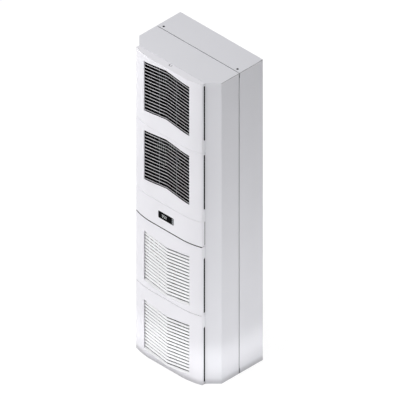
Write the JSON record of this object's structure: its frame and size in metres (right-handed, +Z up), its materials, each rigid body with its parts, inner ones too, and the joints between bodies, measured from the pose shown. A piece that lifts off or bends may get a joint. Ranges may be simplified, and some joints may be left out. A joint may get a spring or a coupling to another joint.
{
  "type": "enclosure air conditioner",
  "caption": "Tall wall-mounted enclosure cooling unit: folded steel housing, bowed front with chevron louvre grilles and a small display strip, fans and compressor circuit inside.",
  "frame": {"origin": "middle of the base, halfway through the depth", "axes": "+X to the right seen from the front, +Y to the back (enclosure wall), +Z up; front faces -Y"},
  "size_m": [0.5, 0.34, 1.58],
  "materials": {
    "housing_paint": "fine textured light-grey powder coat",
    "moulding": "satin light-grey moulded plastic",
    "black_wire": "black coated wire",
    "black_plastic": "matt black moulded plastic",
    "display_pane": "gloss dark pane",
    "key_grey": "satin mid-grey keycap",
    "galvanised": "galvanised sheet",
    "zinc": "bright zinc plating",
    "foam": "grey closed-cell foam",
    "black_foam": "black closed-cell foam",
    "rubber": "black rubber",
    "fins": "bare fin stock",
    "copper": "drawn copper tube",
    "brass": "machined brass",
    "black_enamel": "black baked enamel",
    "motor_alloy": "die-cast alloy",
    "board": "green circuit board"
  },
  "bodies": {
    "housing": {"accumulator": "black_enamel", "chamber_baffle": "galvanised", "compressor": "black_enamel", "compressor_bolts": "zinc", "compressor_grommets": "rubber", "compressor_shelf": "galvanised", "condensate_pan": "galvanised", "condenser_bends": "copper", "condenser_coil": "fins", "condenser_fan_motor_lower": "motor_alloy", "condenser_fan_motor_upper": "motor_alloy", "control_board": "board", "cover_screws": "zinc", "cover_ties": "zinc", "discharge_line": "copper", "display_bezel": "black_plastic", "display_board": "board", "display_panel": "moulding", "display_window": "display_pane", "drain_hose": "rubber", "electronics_box": "galvanised", "electronics_lid": "galvanised", "evaporator_bends": "copper", "evaporator_coil": "fins", "evaporator_fan_motor": "motor_alloy", "evaporator_feed": "copper", "exhaust_guard_lower": "black_wire", "exhaust_guard_upper": "black_wire", "expansion_valve": "brass", "fan_shroud": "black_plastic", "filter_dryer": "copper", "front_cover": "housing_paint", "inlet_guard": "black_wire", "inlet_nozzle": "galvanised", "lifting_inserts": "zinc", "line_grommets": "rubber", "liquid_line": "copper", "mount_inserts": "zinc", "outlet_guard": "black_wire", "partition_plate": "galvanised", "rear_tray": "housing_paint", "run_capacitor": "motor_alloy", "seam_gasket": "foam", "side_foam": "black_foam", "strip_seal": "black_foam", "suction_line": "copper", "supply_connector": "black_plastic", "terminal_cover": "black_plastic"},
    "condenser_fan_upper": {"condenser_fan_rotor_upper": "black_plastic"},
    "condenser_fan_lower": {"condenser_fan_rotor_lower": "black_plastic"},
    "evaporator_fan": {"evaporator_fan_rotor": "black_plastic"},
    "key_up": {"key_up": "key_grey"},
    "key_set": {"key_set": "key_grey"},
    "key_down": {"key_down": "key_grey"},
    "grille_upper_top": {"grille_upper_top": "moulding"},
    "grille_upper_bottom": {"grille_upper_bottom": "moulding"},
    "grille_lower_top": {"grille_lower_top": "moulding"},
    "grille_lower_bottom": {"grille_lower_bottom": "moulding"}
  },
  "joints": [
    {"name": "condenser_fan_upper_spin", "type": "hinge", "parent": "housing", "child": "condenser_fan_upper", "pos_m": [0, 0, 1.42535], "axis": [0, 1, 0], "continuous": true},
    {"name": "condenser_fan_lower_spin", "type": "hinge", "parent": "housing", "child": "condenser_fan_lower", "pos_m": [0, 0, 1.06335], "axis": [0, 1, 0], "continuous": true},
    {"name": "evaporator_fan_spin", "type": "hinge", "parent": "housing", "child": "evaporator_fan", "pos_m": [0, 0, 1.33], "axis": [0, 1, 0], "continuous": true},
    {"name": "key_up_press", "type": "slide", "parent": "housing", "child": "key_up", "axis": [0, 1, 0], "range_m": [0, 0.0008], "stiffness_N_per_m": 600},
    {"name": "key_set_press", "type": "slide", "parent": "housing", "child": "key_set", "axis": [0, 1, 0], "range_m": [0, 0.0008], "stiffness_N_per_m": 600},
    {"name": "key_down_press", "type": "slide", "parent": "housing", "child": "key_down", "axis": [0, 1, 0], "range_m": [0, 0.0008], "stiffness_N_per_m": 600},
    {"name": "grille_upper_top_pull", "type": "slide", "parent": "housing", "child": "grille_upper_top", "axis": [0, -1, 0], "range_m": [0, 0.06]},
    {"name": "grille_upper_bottom_pull", "type": "slide", "parent": "housing", "child": "grille_upper_bottom", "axis": [0, -1, 0], "range_m": [0, 0.06]},
    {"name": "grille_lower_top_pull", "type": "slide", "parent": "housing", "child": "grille_lower_top", "axis": [0, -1, 0], "range_m": [0, 0.06]},
    {"name": "grille_lower_bottom_pull", "type": "slide", "parent": "housing", "child": "grille_lower_bottom", "axis": [0, -1, 0], "range_m": [0, 0.06]}
  ]
}
